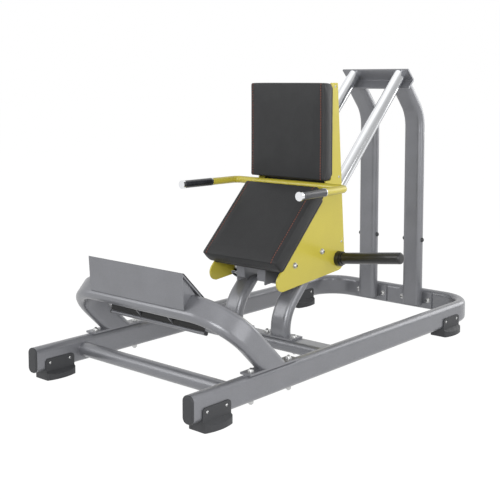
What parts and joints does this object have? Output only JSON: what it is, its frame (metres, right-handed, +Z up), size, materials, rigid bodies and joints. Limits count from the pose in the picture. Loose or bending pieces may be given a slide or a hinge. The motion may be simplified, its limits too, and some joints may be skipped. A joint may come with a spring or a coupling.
{
  "type": "calf raise machine",
  "caption": "Seated calf raise machine: padded carriage with weight horns sliding on inclined chrome rails above a U-shaped base with an arched foot plate.",
  "frame": {"origin": "on the floor under the middle of the base frame, between its two side tubes", "axes": "+X across the machine to the side where the right weight horn is, +Y from the foot plate end towards the rear uprights, +Z up"},
  "size_m": [1.0372, 1.994, 1.2363],
  "materials": {
    "frame_paint": "satin metallic grey powder coat",
    "accent_paint": "semi-gloss olive yellow powder coat",
    "chrome": "polished hard chrome",
    "dark_rubber": "moulded charcoal rubber, matt",
    "grip_rubber": "black grip rubber, matt",
    "tread_rubber": "black ribbed sheet rubber",
    "leatherette": "black upholstery vinyl with fine grain",
    "black_board": "plywood painted black",
    "black_steel": "satin black powder coat",
    "zinc": "zinc plated, slightly dull",
    "bearing_plastic": "turned natural bearing plastic"
  },
  "bodies": {
    "frame": {"base_frame": "frame_paint", "front_cross_tube": "frame_paint", "support_cross_tube": "frame_paint", "end_cap_left": "dark_rubber", "end_cap_right": "dark_rubber", "foot_front_left": "dark_rubber", "foot_front_right": "dark_rubber", "foot_rear_left": "dark_rubber", "foot_rear_right": "dark_rubber", "foot_screws": "zinc", "arch_beam": "frame_paint", "arch_flanges": "frame_paint", "arch_bolts": "zinc", "foot_plate": "frame_paint", "foot_plate_gussets": "frame_paint", "tread_mat": "tread_rubber", "foot_rod": "frame_paint", "support_base_plates": "frame_paint", "support_bolts": "zinc", "support_tie": "frame_paint", "rail_support_left": "frame_paint", "rail_support_right": "frame_paint", "rail_seats": "frame_paint", "stop_collars": "zinc", "stop_bumpers": "dark_rubber", "guide_rail_left": "chrome", "guide_rail_right": "chrome", "rail_bolts": "zinc", "upright_left": "frame_paint", "upright_right": "frame_paint", "upright_flanges": "frame_paint", "upright_bolts": "zinc", "black_plugs": "dark_rubber", "top_bracket": "frame_paint"},
    "carriage": {"side_plate_left": "accent_paint", "side_plate_right": "accent_paint", "web_plate_left": "frame_paint", "web_plate_right": "frame_paint", "bearing_blocks_left": "black_steel", "bearing_blocks_right": "black_steel", "bearing_liners": "bearing_plastic", "front_tube": "frame_paint", "horn_tube": "accent_paint", "spacer_rods": "accent_paint", "pad_strips": "black_steel", "seat_board": "black_board", "seat_pad": "leatherette", "back_board": "black_board", "back_pad": "leatherette", "handlebar": "accent_paint", "grip_left": "grip_rubber", "grip_right": "grip_rubber", "grip_rings": "chrome", "handle_caps": "chrome", "horn_left": "black_steel", "horn_right": "black_steel", "horn_collars": "black_steel", "side_bolts": "zinc", "rod_screws": "zinc", "web_bolts": "zinc"}
  },
  "joints": [
    {"name": "carriage_slide", "type": "slide", "parent": "frame", "child": "carriage", "axis": [0, 0.7071, 0.7071], "range_m": [0, 0.735]}
  ]
}
